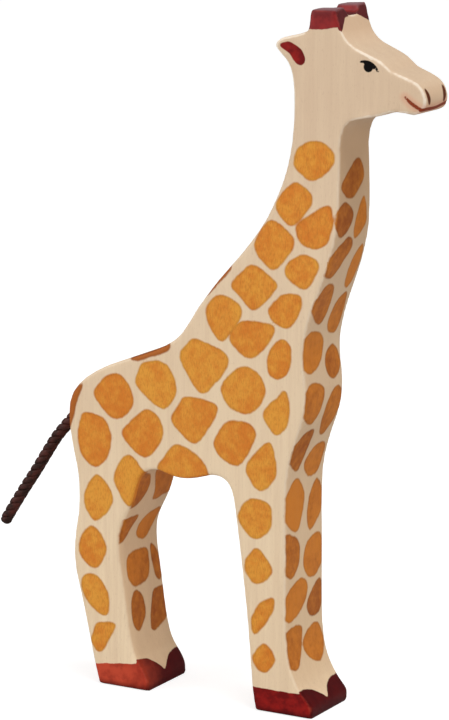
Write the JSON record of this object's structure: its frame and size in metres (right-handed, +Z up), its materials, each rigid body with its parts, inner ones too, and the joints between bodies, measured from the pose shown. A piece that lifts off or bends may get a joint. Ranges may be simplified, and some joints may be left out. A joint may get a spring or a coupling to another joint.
{
  "type": "wooden giraffe figure",
  "caption": "Standing giraffe sawn from one thick board, edges sanded round, with stained spots, dipped hooves and a stiff cord tail glued into the rump.",
  "frame": {"origin": "on the ground plane, under the middle of the carved body's box", "axes": "+X the way the giraffe faces, +Y its left side, +Z up"},
  "size_m": [0.1608, 0.0254, 0.2258],
  "materials": {
    "painted_maple": "fine sanded maple with orange-brown stained spots, dark red hooves, horns and inner ears, satin oil finish",
    "tail_cord": "dark brown twisted waxed cord, dull sheen",
    "glue": "dried wood glue, slightly glossy"
  },
  "bodies": {
    "root": {"carved_body": "painted_maple", "tail_cord": "tail_cord", "tail_glue": "glue"}
  },
  "joints": []
}
